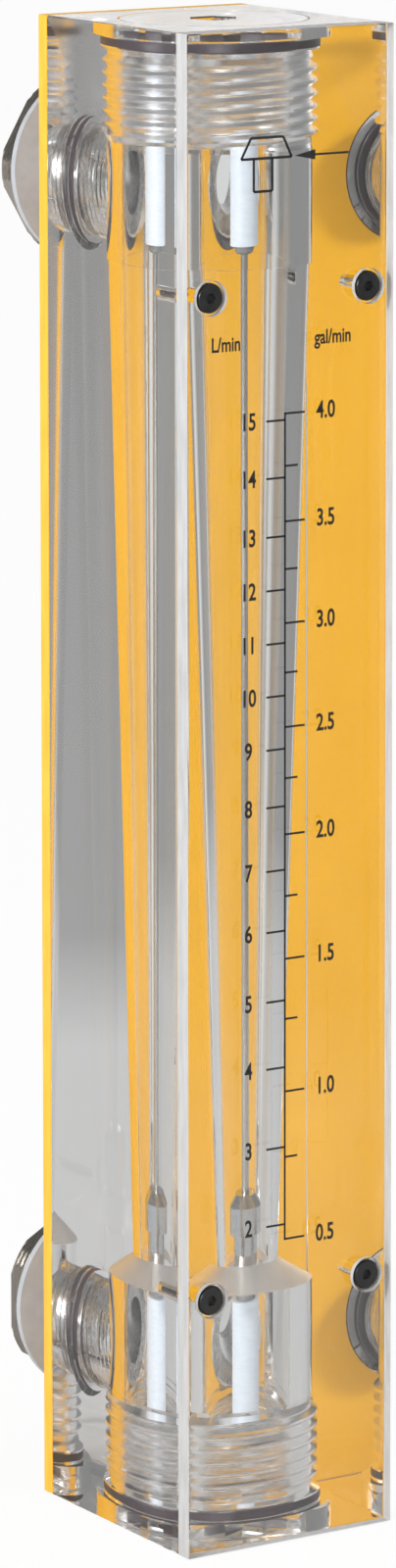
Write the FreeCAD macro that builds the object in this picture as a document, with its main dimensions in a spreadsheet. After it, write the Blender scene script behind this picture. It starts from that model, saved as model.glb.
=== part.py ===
# Panel-mounted variable-area flow meter: a clear square block with a tapered bore, a guided float,
# threaded end plugs, a printed scale plate in front, a coloured back plate and two rear port fittings.
# Millimetres. X to the right seen from the front, +Y out of the back into the panel, +Z up.
# Origin: the middle of the back plate's rear face, which seats on the panel.
import FreeCAD, Part
import math
import os
import re
import Sketcher

doc = FreeCAD.newDocument("flow_meter")

sizes = {
    # clear body block
    "block_width": 38.1,
    "block_depth": 38.1,
    "block_height": 239.7,
    "edge_break": 0.3,
    # tapered measuring tube, from a level above the base to one below the top, and the chambers at its ends
    "tube_bottom_radius": 5.75,
    "tube_bottom_level": 42.4,
    "tube_top_radius": 11.4,
    "tube_top_margin": 37.9,
    "chamber_step": 0.4,
    "shoulder_angle": 31,
    # end plugs, whose thread is cut into the chamber's wall
    "plug_length": 19.05,
    "plug_thread_depth": 0.9,
    "plug_head_overlap": 2.3,
    "plug_head_thickness": 2.4,
    "plug_land": 0.8,
    "plug_chamfer": 0.9,
    "socket_flats": 6.8,
    "socket_depth": 5,
    # O-rings: thickness of the ring, and the grooves that hold them, counted from the threads
    "seal_thickness": 1.8,
    "plug_groove_depth": 1.35,
    "port_groove_depth": 0.9,
    # stops at the ends of the guide rod
    "stop_radius": 3.6,
    "stop_recess": 3.5,
    "bottom_stop_reach": 16.2,
    "top_stop_reach": 16.2,
    "bumper_radius": 2.6,
    "bumper_tip_radius": 1.6,
    "bumper_height": 1.4,
    "rod_radius": 0.95,
    "rod_hold": 9,
    # float: a cone on a short cylinder, whose lower edge is read, on a stem
    "float_head_radius": 4.15,
    "float_head_length": 4.4,
    "float_top_radius": 2.7,
    "float_cone_height": 1.75,
    "float_stem_radius": 3.1,
    "float_stem_length": 10.1,
    "float_edge_break": 0.25,
    # rear port fittings: the nose stops short of the plug's thread, and the port's bore clears the plug
    "nose_radius": 9.1,
    "nose_inset": 0.3,
    "port_clearance": 1.85,
    "port_bore_radius": 5.5,
    "tail_step": 0.8,
    "tail_spare": 2.5,
    "pipe_thread_radius": 7.5,
    "pipe_thread_depth": 12,
    "pipe_chamfer": 0.8,
    # panel nuts and washers
    "panel_room": 12.9,
    "washer_margin": 0.6,
    "washer_thickness": 1.2,
    "nut_wall": 3.8,
    "nut_corner_reach": 1.4,
    "nut_thickness": 5,
    "nut_chamfer": 0.7,
    # plates
    "scale_plate_thickness": 3.2,
    "back_plate_thickness": 2.5,
    # scale plate screws, placed from the edges of the plate
    "screw_margin_across": 4.5,
    "screw_margin_up": 40.9,
    "screw_head_radius": 2.15,
    "screw_head_height": 0.8,
    "screw_pocket_radius": 2.7,
    "screw_pocket_depth": 2,
    "screw_shank_radius": 1.1,
    "screw_reach": 9.5,
    # clearances
    "thread_clearance": 0.05,
    "seal_clearance": 0.03,
    "seat_clearance": 0.1,
    "rod_clearance": 0.02,
    "float_clearance": 0.08,
    "tail_clearance": 0.15,
}

sheet = doc.addObject("Spreadsheet::Sheet", "Sizes")
for row, (alias, value) in enumerate(sizes.items(), start=1):
    sheet.set(f"A{row}", alias)
    sheet.set(f"B{row}", str(value))
    sheet.setAlias(f"B{row}", alias)
doc.recompute()


def formula(text):
    # Every alias holds an underscore, which tells it from a function such as tan.
    return re.sub(r"[a-z]+(?:_[a-z]+)+", r"Sizes.\g<0>", text)


def bind(target, prop, text):
    target.setExpression(prop, formula(text))


def value_of(text):
    result = sheet.evalExpression(formula(text))
    return float(getattr(result, "Value", result))


# Levels and sizes that several pieces share, as formulas of the sheet's cells.
axis_y = "-(back_plate_thickness + block_depth / 2)"
tube_top_level = "(block_height - tube_top_margin)"
chamber_radius = "(tube_top_radius + chamber_step)"
plug_thread_radius = f"({chamber_radius} + plug_thread_depth)"
plug_head_radius = f"({plug_thread_radius} + plug_head_overlap)"
plug_groove_radius = f"({plug_thread_radius} - plug_groove_depth)"
seal_land = "plug_head_thickness + seal_thickness + 2 * seal_clearance"
rest_level = "plug_length + bottom_stop_reach + bumper_height"
top_stop_level = "block_height - plug_length - top_stop_reach"
nose_length = f"(block_depth / 2 - {plug_thread_radius} - nose_inset)"
port_groove_radius = "(nose_radius - port_groove_depth)"
tail_radius = "(nose_radius + tail_step)"
tail_length = "back_plate_thickness + panel_room + washer_thickness + nut_thickness + tail_spare"
nut_flats = f"(2 * ({tail_radius} + nut_wall))"
nut_corner_radius = f"({nut_flats} / 2 + nut_corner_reach)"
washer_radius = f"({nut_corner_radius} + washer_margin)"
port_offset = "(plug_length + port_clearance + port_bore_radius)"
lower_port = f"({port_offset} - block_height / 2)"
upper_port = f"(block_height / 2 - {port_offset})"
screw_spacing_across = "(block_width - 2 * screw_margin_across)"
screw_spacing_up = "(block_height - 2 * screw_margin_up)"
along_y = FreeCAD.Rotation(FreeCAD.Vector(1, 0, 0), -90)
upright = FreeCAD.Rotation()


# ---- sketch and body helpers ----

def new_body(name, x="0", y="0", z="0", turn=upright):
    body = doc.addObject("PartDesign::Body", name)
    body.Label = name
    body.Placement = FreeCAD.Placement(FreeCAD.Vector(), turn)
    for letter, text in zip("xyz", (x, y, z)):
        bind(body, f"Placement.Base.{letter}", text)
    return body


def new_sketch(body, name, role, lift=None):
    sketch = body.newObject("Sketcher::SketchObject", name)
    plane = next(item for item in body.Origin.OriginFeatures if item.Role == role)
    sketch.AttachmentSupport = [(plane, "")]
    sketch.MapMode = "FlatFace"
    if lift:
        bind(sketch, "AttachmentOffset.Base.z", lift)
    return sketch


def pin_point(sketch, shape, end, across, up):
    # Ties one point of the sketch to its two coordinates; "0" lays it on the axis.
    for kind, axis, text in (("DistanceX", -2, across), ("DistanceY", -1, up)):
        if text == "0":
            sketch.addConstraint(Sketcher.Constraint("PointOnObject", shape, end, axis))
            continue
        number = sketch.addConstraint(Sketcher.Constraint(kind, -1, 1, shape, end, value_of(text)))
        bind(sketch, f"Constraints[{number}]", text)


def draw_outline(sketch, corners):
    spots = [FreeCAD.Vector(value_of(across), value_of(up), 0) for across, up in corners]
    count = len(corners)
    first = sketch.GeometryCount
    for i in range(count):
        sketch.addGeometry(Part.LineSegment(spots[i], spots[(i + 1) % count]), False)
    for i in range(count):
        following = first + (i + 1) % count
        sketch.addConstraint(Sketcher.Constraint("Coincident", first + i, 2, following, 1))
    for i, (across, up) in enumerate(corners):
        pin_point(sketch, first + i, 1, across, up)


def draw_circle(sketch, radius, across="0", up="0"):
    centre = FreeCAD.Vector(value_of(across), value_of(up), 0)
    shape = sketch.addGeometry(Part.Circle(centre, FreeCAD.Vector(0, 0, 1), value_of(radius)), False)
    number = sketch.addConstraint(Sketcher.Constraint("Radius", shape, value_of(radius)))
    bind(sketch, f"Constraints[{number}]", radius)
    if across == up == "0":
        sketch.addConstraint(Sketcher.Constraint("Coincident", shape, 3, -1, 1))
    else:
        pin_point(sketch, shape, 3, across, up)


def draw_rectangle(sketch, width, height, standing=False):
    # Centred on the sketch's origin, or standing on its X axis.
    half_width = value_of(width) / 2
    low = 0 if standing else -value_of(height) / 2
    high = low + value_of(height)
    spots = [(-half_width, low), (half_width, low), (half_width, high), (-half_width, high)]
    spots = [FreeCAD.Vector(across, up, 0) for across, up in spots]
    for i in range(4):
        sketch.addGeometry(Part.LineSegment(spots[i], spots[(i + 1) % 4]), False)
    for i in range(4):
        sketch.addConstraint(Sketcher.Constraint("Coincident", i, 2, (i + 1) % 4, 1))
        direction = "Horizontal" if i % 2 == 0 else "Vertical"
        if not (standing and i == 0):
            sketch.addConstraint(Sketcher.Constraint(direction, i))
    if standing:
        sketch.addConstraint(Sketcher.Constraint("Symmetric", 0, 1, 0, 2, -1, 1))
        sketch.addConstraint(Sketcher.Constraint("PointOnObject", 0, 1, -1))
    else:
        sketch.addConstraint(Sketcher.Constraint("Symmetric", 0, 1, 2, 1, -1, 1))
    for side, text in ((0, width), (1, height)):
        number = sketch.addConstraint(Sketcher.Constraint("Distance", side, value_of(text)))
        bind(sketch, f"Constraints[{number}]", text)


def draw_hexagon(sketch, flats):
    # A hexagon centred on the sketch's origin, with two corners on the sketch's X axis.
    reach = value_of(flats) / math.sqrt(3)
    turns = [math.radians(60 * i) for i in range(6)]
    spots = [FreeCAD.Vector(reach * math.cos(a), reach * math.sin(a), 0) for a in turns]
    for i in range(6):
        sketch.addGeometry(Part.LineSegment(spots[i], spots[(i + 1) % 6]), False)
    guide = sketch.addGeometry(Part.Circle(FreeCAD.Vector(), FreeCAD.Vector(0, 0, 1), reach), True)
    sketch.addConstraint(Sketcher.Constraint("Coincident", guide, 3, -1, 1))
    for i in range(6):
        sketch.addConstraint(Sketcher.Constraint("Coincident", i, 2, (i + 1) % 6, 1))
        sketch.addConstraint(Sketcher.Constraint("PointOnObject", i, 1, guide))
    for i in range(1, 6):
        sketch.addConstraint(Sketcher.Constraint("Equal", 0, i))
    sketch.addConstraint(Sketcher.Constraint("PointOnObject", 0, 1, -1))
    number = sketch.addConstraint(Sketcher.Constraint("Radius", guide, reach))
    bind(sketch, f"Constraints[{number}]", f"({flats}) / sqrt(3)")


def extrude(body, kind, sketch, length, reverse=False):
    feature = body.newObject(f"PartDesign::{kind}", f"{sketch.Name}_{kind}")
    feature.Profile = sketch
    bind(feature, "Length", length)
    feature.Reversed = reverse
    return feature


def spin(body, kind, corners, name):
    # Turns an outline, given as radius and height pairs, round the body's own Z axis.
    sketch = new_sketch(body, name, "XZ_Plane")
    draw_outline(sketch, corners)
    feature = body.newObject(f"PartDesign::{kind}", f"{name}_{kind}")
    feature.Profile = sketch
    feature.ReferenceAxis = (sketch, ["V_Axis"])
    feature.Angle = 360
    return feature


def break_edges(body, base, size):
    feature = body.newObject("PartDesign::Chamfer", f"{base.Name}_edges")
    feature.Base = (base, [f"Edge{i + 1}" for i in range(len(base.Shape.Edges))])
    bind(feature, "Size", size)
    return feature


def cut_screw_holes(body, name, radius, lift, depth):
    # One hole at the upper right screw, repeated to the left and down.
    sketch = new_sketch(body, name, "XZ_Plane", lift)
    draw_circle(sketch, radius, f"{screw_spacing_across} / 2", f"(block_height + {screw_spacing_up}) / 2")
    first = extrude(body, "Pocket", sketch, depth)
    steps = body.newObject("PartDesign::MultiTransform", f"{name}_corners")
    steps.Originals = [first]
    patterns = []
    for line, spacing in (("H_Axis", screw_spacing_across), ("V_Axis", screw_spacing_up)):
        pattern = body.newObject("PartDesign::LinearPattern", f"{name}_{line}")
        pattern.Direction = (sketch, [line])
        pattern.Reversed = True
        pattern.Occurrences = 2
        bind(pattern, "Length", spacing)
        patterns.append(pattern)
    steps.Transformations = patterns
    body.Tip = steps


def cut_port_holes(body, name, radius, lift, depth):
    # The two port holes, cut from a rear face towards the front.
    sketch = new_sketch(body, name, "XZ_Plane", lift)
    draw_circle(sketch, radius, "0", port_offset)
    draw_circle(sketch, radius, "0", f"block_height - {port_offset}")
    return extrude(body, "Pocket", sketch, depth, reverse=True)


# ---- block and plates ----

def make_body_block():
    body = new_body("body_block", y=axis_y, z="-block_height / 2")
    sketch = new_sketch(body, "block_section", "XY_Plane")
    draw_rectangle(sketch, "block_width", "block_depth")
    bar = extrude(body, "Pad", sketch, "block_height")
    doc.recompute()
    break_edges(body, bar, "edge_break")
    head = f"{plug_head_radius} + seat_clearance"
    seal = f"{plug_groove_radius} + seal_thickness + seal_clearance"
    land = f"{seal_land} + plug_land"
    thread_end = "plug_length + seat_clearance"
    relief = f"{thread_end} + plug_thread_depth"
    shoulder = f"tube_bottom_level - ({chamber_radius} - tube_bottom_radius) * tan(shoulder_angle * 1deg)"
    top = "block_height - "
    spin(body, "Groove", [
        ("0", "0"),
        (head, "0"),
        (head, "plug_head_thickness"),
        (seal, "plug_head_thickness"),
        (seal, seal_land),
        (plug_thread_radius, land),
        (plug_thread_radius, thread_end),
        (chamber_radius, relief),
        (chamber_radius, shoulder),
        ("tube_bottom_radius", "tube_bottom_level"),
        ("tube_top_radius", tube_top_level),
        (chamber_radius, tube_top_level),
        (chamber_radius, f"{top}({relief})"),
        (plug_thread_radius, f"{top}({thread_end})"),
        (plug_thread_radius, f"{top}({land})"),
        (seal, f"{top}({seal_land})"),
        (seal, f"{top}plug_head_thickness"),
        (head, f"{top}plug_head_thickness"),
        (head, "block_height"),
        ("0", "block_height"),
    ], "bore_outline")
    back_face = "-block_depth / 2"
    seal_radius = f"{port_groove_radius} + seal_thickness + seal_clearance"
    cut_port_holes(body, "port_threads", "nose_radius + thread_clearance", back_face, "block_depth / 2")
    cut_port_holes(body, "port_seal_seats", seal_radius, back_face, "seal_thickness + seal_clearance")
    cut_screw_holes(body, "screw_holes", "screw_shank_radius + thread_clearance",
                    "block_depth / 2", "screw_reach + seat_clearance")
    return body


def make_scale_plate():
    body = new_body("scale_plate", y=f"{axis_y} - block_depth / 2", z="-block_height / 2")
    sketch = new_sketch(body, "scale_plate_outline", "XZ_Plane")
    draw_rectangle(sketch, "block_width", "block_height", standing=True)
    sheet_of_plastic = extrude(body, "Pad", sketch, "scale_plate_thickness")
    doc.recompute()
    break_edges(body, sheet_of_plastic, "edge_break")
    front_face = "scale_plate_thickness"
    cut_screw_holes(body, "head_pockets", "screw_pocket_radius", front_face, "screw_pocket_depth")
    cut_screw_holes(body, "shank_holes", "screw_shank_radius + seat_clearance",
                    front_face, "scale_plate_thickness")
    return body


def make_back_plate():
    body = new_body("back_plate", z="-block_height / 2")
    sketch = new_sketch(body, "back_plate_outline", "XZ_Plane")
    draw_rectangle(sketch, "block_width", "block_height", standing=True)
    sheet_of_plastic = extrude(body, "Pad", sketch, "back_plate_thickness")
    doc.recompute()
    break_edges(body, sheet_of_plastic, "edge_break")
    cut_port_holes(body, "tail_holes", f"{tail_radius} + tail_clearance", None, "back_plate_thickness")
    return body


# ---- end plugs, their seals, the stops and the rod ----

def make_plug(name, inverted):
    # Modelled with its outer face on the body's XY plane and the thread running up from it.
    if inverted:
        turn = FreeCAD.Rotation(FreeCAD.Vector(1, 0, 0), 180)
    else:
        turn = upright
    sign = "" if inverted else "-"
    body = new_body(name, y=axis_y, z=f"{sign}block_height / 2", turn=turn)
    thread = f"{plug_thread_radius} - thread_clearance"
    spin(body, "Revolution", [
        ("0", "0"),
        (plug_head_radius, "0"),
        (plug_head_radius, "plug_head_thickness"),
        (plug_groove_radius, "plug_head_thickness"),
        (plug_groove_radius, seal_land),
        (thread, f"{seal_land} + plug_land"),
        (thread, "plug_length - plug_chamfer"),
        (f"{thread} - plug_chamfer", "plug_length"),
        ("stop_radius + seal_clearance", "plug_length"),
        ("stop_radius + seal_clearance", "plug_length - stop_recess"),
        ("0", "plug_length - stop_recess"),
    ], f"{name}_outline")
    sketch = new_sketch(body, f"{name}_socket", "XY_Plane")
    draw_hexagon(sketch, "socket_flats")
    extrude(body, "Pocket", sketch, "socket_depth", reverse=True)
    return body


def make_ring(name, centre_radius, level, y, z, turn=upright):
    # An O-ring lying at a level along its own axis.
    body = new_body(name, y=y, z=z, turn=turn)
    sketch = new_sketch(body, f"{name}_section", "XZ_Plane")
    draw_circle(sketch, "seal_thickness / 2", centre_radius, level)
    feature = body.newObject("PartDesign::Revolution", f"{name}_turn")
    feature.Profile = sketch
    feature.ReferenceAxis = (sketch, ["V_Axis"])
    feature.Angle = 360
    return body


def make_plug_ring(name, level):
    return make_ring(name, f"{plug_groove_radius} + seal_thickness / 2", level, axis_y, "-block_height / 2")


def make_stop(name, reach, level, inverted):
    # A plain round stop held in the plug's recess, bored for the guide rod from its free end.
    turn = FreeCAD.Rotation(FreeCAD.Vector(1, 0, 0), 180) if inverted else upright
    body = new_body(name, y=axis_y, z=level, turn=turn)
    length = f"({reach} + stop_recess - seal_clearance)"
    spin(body, "Revolution", [
        ("0", "0"),
        ("stop_radius", "0"),
        ("stop_radius", length),
        ("rod_radius + rod_clearance", length),
        ("rod_radius + rod_clearance", f"{length} - rod_hold - seat_clearance"),
        ("0", f"{length} - rod_hold - seat_clearance"),
    ], f"{name}_outline")
    return body


def make_bumper(name, level, inverted):
    # A bevelled ring on the rod against the stop's end, where the float comes to rest.
    turn = FreeCAD.Rotation(FreeCAD.Vector(1, 0, 0), 180) if inverted else upright
    body = new_body(name, y=axis_y, z=level, turn=turn)
    bore = "rod_radius + rod_clearance"
    spin(body, "Revolution", [
        (bore, "0"),
        ("bumper_radius", "0"),
        ("bumper_radius", "bumper_height / 3"),
        ("bumper_tip_radius", "bumper_height"),
        (bore, "bumper_height"),
    ], f"{name}_outline")
    return body


def make_guide_rod():
    start = "plug_length + bottom_stop_reach - rod_hold"
    length = f"{top_stop_level} + rod_hold - ({start})"
    body = new_body("guide_rod", y=axis_y, z=f"{start} - block_height / 2")
    sketch = new_sketch(body, "rod_section", "XY_Plane")
    draw_circle(sketch, "rod_radius")
    extrude(body, "Pad", sketch, length)
    return body


def make_float():
    body = new_body("float", y=axis_y, z=f"{rest_level} - block_height / 2")
    head_top = "float_stem_length + float_head_length"
    bore = "rod_radius + float_clearance"
    spin(body, "Revolution", [
        (bore, "0"),
        ("float_stem_radius - float_edge_break", "0"),
        ("float_stem_radius", "float_edge_break"),
        ("float_stem_radius", "float_stem_length"),
        ("float_head_radius", "float_stem_length"),
        ("float_head_radius", head_top),
        ("float_top_radius", f"{head_top} + float_cone_height"),
        (bore, f"{head_top} + float_cone_height"),
    ], "float_outline")
    return body


# ---- rear port fittings and panel hardware ----

def make_fitting(name, level):
    # Turned along its own Z axis from the tip of the nose to the open end of the tail.
    body = new_body(name, y=f"-back_plate_thickness - {nose_length}", z=level, turn=along_y)
    end = f"({nose_length} + {tail_length})"
    groove_end = f"{nose_length} - seal_thickness - 2 * seal_clearance"
    spin(body, "Revolution", [
        ("port_bore_radius", "0"),
        ("nose_radius - plug_chamfer", "0"),
        ("nose_radius", "plug_chamfer"),
        ("nose_radius", groove_end),
        (port_groove_radius, groove_end),
        (port_groove_radius, nose_length),
        (tail_radius, nose_length),
        (tail_radius, f"{end} - pipe_chamfer"),
        (f"{tail_radius} - pipe_chamfer", end),
        ("pipe_thread_radius + pipe_chamfer", end),
        ("pipe_thread_radius", f"{end} - pipe_chamfer"),
        ("pipe_thread_radius", f"{end} - pipe_thread_depth"),
        ("port_bore_radius",
         f"{end} - pipe_thread_depth - (pipe_thread_radius - port_bore_radius) * tan(shoulder_angle * 1deg)"),
    ], f"{name}_outline")
    return body


def make_port_ring(name, level):
    centre = f"{port_groove_radius} + seal_thickness / 2"
    return make_ring(name, centre, "seal_thickness / 2 + seal_clearance",
                     "-(back_plate_thickness + seal_thickness + 2 * seal_clearance)", level, along_y)


def make_washer(name, level):
    body = new_body(name, y="panel_room", z=level, turn=along_y)
    sketch = new_sketch(body, f"{name}_section", "XY_Plane")
    draw_circle(sketch, washer_radius)
    draw_circle(sketch, f"{tail_radius} + tail_clearance")
    extrude(body, "Pad", sketch, "washer_thickness")
    return body


def make_nut(name, level, corner_angle):
    # A hexagon whose corners are turned round and bevelled at both ends.
    turn = along_y.multiply(FreeCAD.Rotation(FreeCAD.Vector(0, 0, 1), corner_angle))
    body = new_body(name, y="panel_room + washer_thickness", z=level, turn=turn)
    sketch = new_sketch(body, f"{name}_section", "XY_Plane")
    draw_hexagon(sketch, nut_flats)
    draw_circle(sketch, f"{tail_radius} + thread_clearance")
    extrude(body, "Pad", sketch, "nut_thickness")
    beyond = nut_flats
    bevel = f"{nut_corner_radius} - nut_chamfer"
    spin(body, "Groove", [
        (bevel, "0"),
        (beyond, "0"),
        (beyond, "nut_thickness"),
        (bevel, "nut_thickness"),
        (nut_corner_radius, "nut_thickness - nut_chamfer"),
        (nut_corner_radius, "nut_chamfer"),
    ], f"{name}_corners")
    return body


# ---- screws of the scale plate ----

def make_plate_screw(name, side, end):
    # Modelled with the underside of its head on the XY plane; the shank points into the block.
    seat = f"{axis_y} - block_depth / 2 - scale_plate_thickness + screw_pocket_depth"
    shank = "(scale_plate_thickness - screw_pocket_depth + screw_reach)"
    turn = FreeCAD.Rotation(FreeCAD.Vector(1, 0, 0), -90)
    body = new_body(name, f"{side} * {screw_spacing_across} / 2", f"{seat} - screw_head_height",
                    f"{end} * {screw_spacing_up} / 2", turn)
    spin(body, "Revolution", [
        ("0", "0"),
        ("screw_head_radius * 0.9", "0"),
        ("screw_head_radius", "screw_head_height / 4"),
        ("screw_head_radius", "screw_head_height"),
        ("screw_shank_radius", "screw_head_height"),
        ("screw_shank_radius", f"screw_head_height + {shank} - screw_shank_radius / 2"),
        ("screw_shank_radius / 2", f"screw_head_height + {shank}"),
        ("0", f"screw_head_height + {shank}"),
    ], f"{name}_outline")
    return body


# ---- the whole meter ----

pieces = [make_body_block(), make_scale_plate(), make_back_plate()]
pieces += [make_plug("bottom_plug", False), make_plug("top_plug", True)]
ring_level = "plug_head_thickness + seal_clearance + seal_thickness / 2"
pieces += [
    make_plug_ring("bottom_plug_ring", ring_level),
    make_plug_ring("top_plug_ring", f"block_height - ({ring_level})"),
]
stop_seat = "plug_length - stop_recess + seal_clearance - block_height / 2"
pieces += [
    make_stop("bottom_stop", "bottom_stop_reach", stop_seat, False),
    make_stop("top_stop", "top_stop_reach", f"-({stop_seat})", True),
    make_bumper("bottom_bumper", "plug_length + bottom_stop_reach - block_height / 2", False),
    make_bumper("top_bumper", f"{top_stop_level} - block_height / 2", True),
    make_guide_rod(),
    make_float(),
]
for port, level, corner_angle in (("inlet", lower_port, 30), ("outlet", upper_port, 0)):
    pieces += [
        make_fitting(f"{port}_fitting", level),
        make_port_ring(f"{port}_ring", level),
        make_washer(f"{port}_washer", level),
        make_nut(f"{port}_nut", level, corner_angle),
    ]
for end_name, end in (("bottom", "-1"), ("top", "1")):
    for side_name, side in (("left", "-1"), ("right", "1")):
        pieces.append(make_plate_screw(f"plate_screw_{end_name}_{side_name}", side, end))

doc.recompute()

for item in doc.Objects:
    faults = [state for state in item.State if state in ("Invalid", "Error")]
    if faults:
        raise RuntimeError(f"{item.Label}: {faults}")
for piece in pieces:
    shape = piece.Shape
    if shape.isNull() or not shape.isValid() or len(shape.Solids) != 1:
        raise RuntimeError(f"{piece.Label}: not one sound solid")

os.makedirs("parts", exist_ok=True)
for piece in pieces:
    piece.Shape.exportStep(f"parts/{piece.Label}.step")
    box = piece.Shape.BoundBox
    print(f"{piece.Label:26s} volume {piece.Shape.Volume:10.2f}  z {box.ZMin:8.2f} {box.ZMax:8.2f}"
          f"  y {box.YMin:7.2f} {box.YMax:7.2f}")
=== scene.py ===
import bpy, bmesh, math
from mathutils import Matrix, Vector


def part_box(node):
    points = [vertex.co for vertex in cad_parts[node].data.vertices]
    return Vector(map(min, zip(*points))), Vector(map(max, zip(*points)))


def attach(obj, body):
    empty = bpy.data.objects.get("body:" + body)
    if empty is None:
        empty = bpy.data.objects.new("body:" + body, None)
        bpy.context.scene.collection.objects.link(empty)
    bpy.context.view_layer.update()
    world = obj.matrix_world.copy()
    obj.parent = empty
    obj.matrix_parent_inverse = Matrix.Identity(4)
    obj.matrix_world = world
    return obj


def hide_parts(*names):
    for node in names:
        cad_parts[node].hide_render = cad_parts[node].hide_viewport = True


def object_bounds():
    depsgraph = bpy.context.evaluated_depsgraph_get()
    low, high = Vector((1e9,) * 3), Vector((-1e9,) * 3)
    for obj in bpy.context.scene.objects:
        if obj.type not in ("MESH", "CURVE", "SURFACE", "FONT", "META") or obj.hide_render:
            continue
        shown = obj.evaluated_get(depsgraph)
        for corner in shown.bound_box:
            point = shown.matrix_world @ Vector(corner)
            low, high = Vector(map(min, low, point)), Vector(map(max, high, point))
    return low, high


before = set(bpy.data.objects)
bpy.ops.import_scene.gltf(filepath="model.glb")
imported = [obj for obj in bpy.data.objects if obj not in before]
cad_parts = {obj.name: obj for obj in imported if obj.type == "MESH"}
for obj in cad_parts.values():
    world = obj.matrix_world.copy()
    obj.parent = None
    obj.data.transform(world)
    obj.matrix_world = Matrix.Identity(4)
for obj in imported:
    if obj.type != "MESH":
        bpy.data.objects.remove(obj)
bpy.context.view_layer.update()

mm = 0.001
scene = bpy.context.scene
scene.view_settings.view_transform = "Standard"


def boxOf(node):
    low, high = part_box(node)
    return low / mm, high / mm


def middleOf(node):
    low, high = boxOf(node)
    return (low + high) / 2


blockLow, blockHigh = boxOf("body_block")
tubeAxis = middleOf("body_block")
print("frame read: block", [round(x, 2) for x in blockHigh - blockLow])


def newMaterial(name):
    material = bpy.data.materials.new(name)
    material.use_nodes = True
    nodes = material.node_tree.nodes
    return material, nodes, material.node_tree.links, nodes["Principled BSDF"]


def addNode(nodes, kind, **settings):
    node = nodes.new(kind)
    for key, value in settings.items():
        if hasattr(node, key):
            setattr(node, key, value)
        else:
            node.inputs[key].default_value = value
    return node


def objectNoise(nodes, links, scale, stretch=(1, 1, 1), detail=3.0):
    place = addNode(nodes, "ShaderNodeTexCoord")
    mapping = addNode(nodes, "ShaderNodeMapping", Scale=stretch)
    noise = addNode(nodes, "ShaderNodeTexNoise", Scale=scale, Detail=detail)
    links.new(place.outputs["Object"], mapping.inputs["Vector"])
    links.new(mapping.outputs["Vector"], noise.inputs["Vector"])
    return noise


def ramp(nodes, links, source, stops):
    node = nodes.new("ShaderNodeValToRGB")
    elements = node.color_ramp.elements
    while len(elements) < len(stops):
        elements.new(0.5)
    for element, (place, colour) in zip(elements, stops):
        element.position = place
        element.color = colour if len(colour) == 4 else (*colour, 1)
    links.new(source, node.inputs["Fac"])
    return node


def grey(value):
    return (value, value, value)


def addBump(nodes, links, source, shader, strength, distance):
    bump = addNode(nodes, "ShaderNodeBump", Strength=strength, Distance=distance)
    links.new(source, bump.inputs["Height"])
    links.new(bump.outputs["Normal"], shader.inputs["Normal"])


clearAcrylic = {
    "index": 1.491,
    "tint": (0.985, 0.992, 0.99),
    "shine": (0.0, 0.012),           # roughness between the cleanest and the most handled spots
    "frostPaintedAmber": (0.97, 0.83, 0.66), # the shoulder under the tube, left as turned; its peach tint is painted reflection of the amber back plate
    "frost": (0.42, 0.55),
    "cutTint": (0.93, 0.94, 0.96),
    "cut": (0.19, 0.27),             # threads cut in the acrylic are less smooth than its bores
    "smearScale": 60,
    "smearBand": (0.45, 0.8),
}


def makeClearAcrylic(name, tint, shine):
    material, nodes, links, shader = newMaterial(name)
    shader.inputs["Base Color"].default_value = (*tint, 1)
    shader.inputs["Transmission Weight"].default_value = 1
    shader.inputs["IOR"].default_value = clearAcrylic["index"]
    low, high = shine
    smear = objectNoise(nodes, links, clearAcrylic["smearScale"])
    clean, handled = clearAcrylic["smearBand"]
    rough = ramp(nodes, links, smear.outputs["Fac"], [(clean, grey(low)), (handled, grey(high))])
    links.new(rough.outputs["Color"], shader.inputs["Roughness"])
    # lamps and scattered light reach what stands inside the block
    path = nodes.new("ShaderNodeLightPath")
    either = addNode(nodes, "ShaderNodeMath", operation="MAXIMUM")
    links.new(path.outputs["Is Shadow Ray"], either.inputs[0])
    links.new(path.outputs["Is Diffuse Ray"], either.inputs[1])
    through = nodes.new("ShaderNodeBsdfTransparent")
    mix = nodes.new("ShaderNodeMixShader")
    links.new(either.outputs[0], mix.inputs["Fac"])
    links.new(shader.outputs["BSDF"], mix.inputs[1])
    links.new(through.outputs["BSDF"], mix.inputs[2])
    links.new(mix.outputs["Shader"], nodes["Material Output"].inputs["Surface"])
    return material


noiseBand = (0.3, 0.7)               # the part of the noise that a surface's two tones are spread over
reliefDepth = 0.05                   # of saw and tool marks, at a strength of 1


def makeSurface(name, dark, light, rough, metal=0.0, scale=400, stretch=(1, 1, 1), bump=0.0, more=None):
    # a base colour that wanders between two tones, roughness that follows it and a faint relief
    start, end = noiseBand
    material, nodes, links, shader = newMaterial(name)
    noise = objectNoise(nodes, links, scale, stretch)
    colour = ramp(nodes, links, noise.outputs["Fac"], [(start, dark), (end, light)])
    links.new(colour.outputs["Color"], shader.inputs["Base Color"])
    shine = ramp(nodes, links, noise.outputs["Fac"], [(start, grey(rough[0])), (end, grey(rough[1]))])
    links.new(shine.outputs["Color"], shader.inputs["Roughness"])
    shader.inputs["Metallic"].default_value = metal
    if bump:
        addBump(nodes, links, noise.outputs["Fac"], shader, bump, reliefDepth * mm)
    for key, value in (more or {}).items():
        shader.inputs[key].default_value = value
    return material


# how marks run: stretched noise is finer along the axis with the larger number
sawMarks = (1, 1, 0.15)
drawnMarks = (1, 1, 0.02)
turnedMarks = (1, 8, 1)

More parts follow.
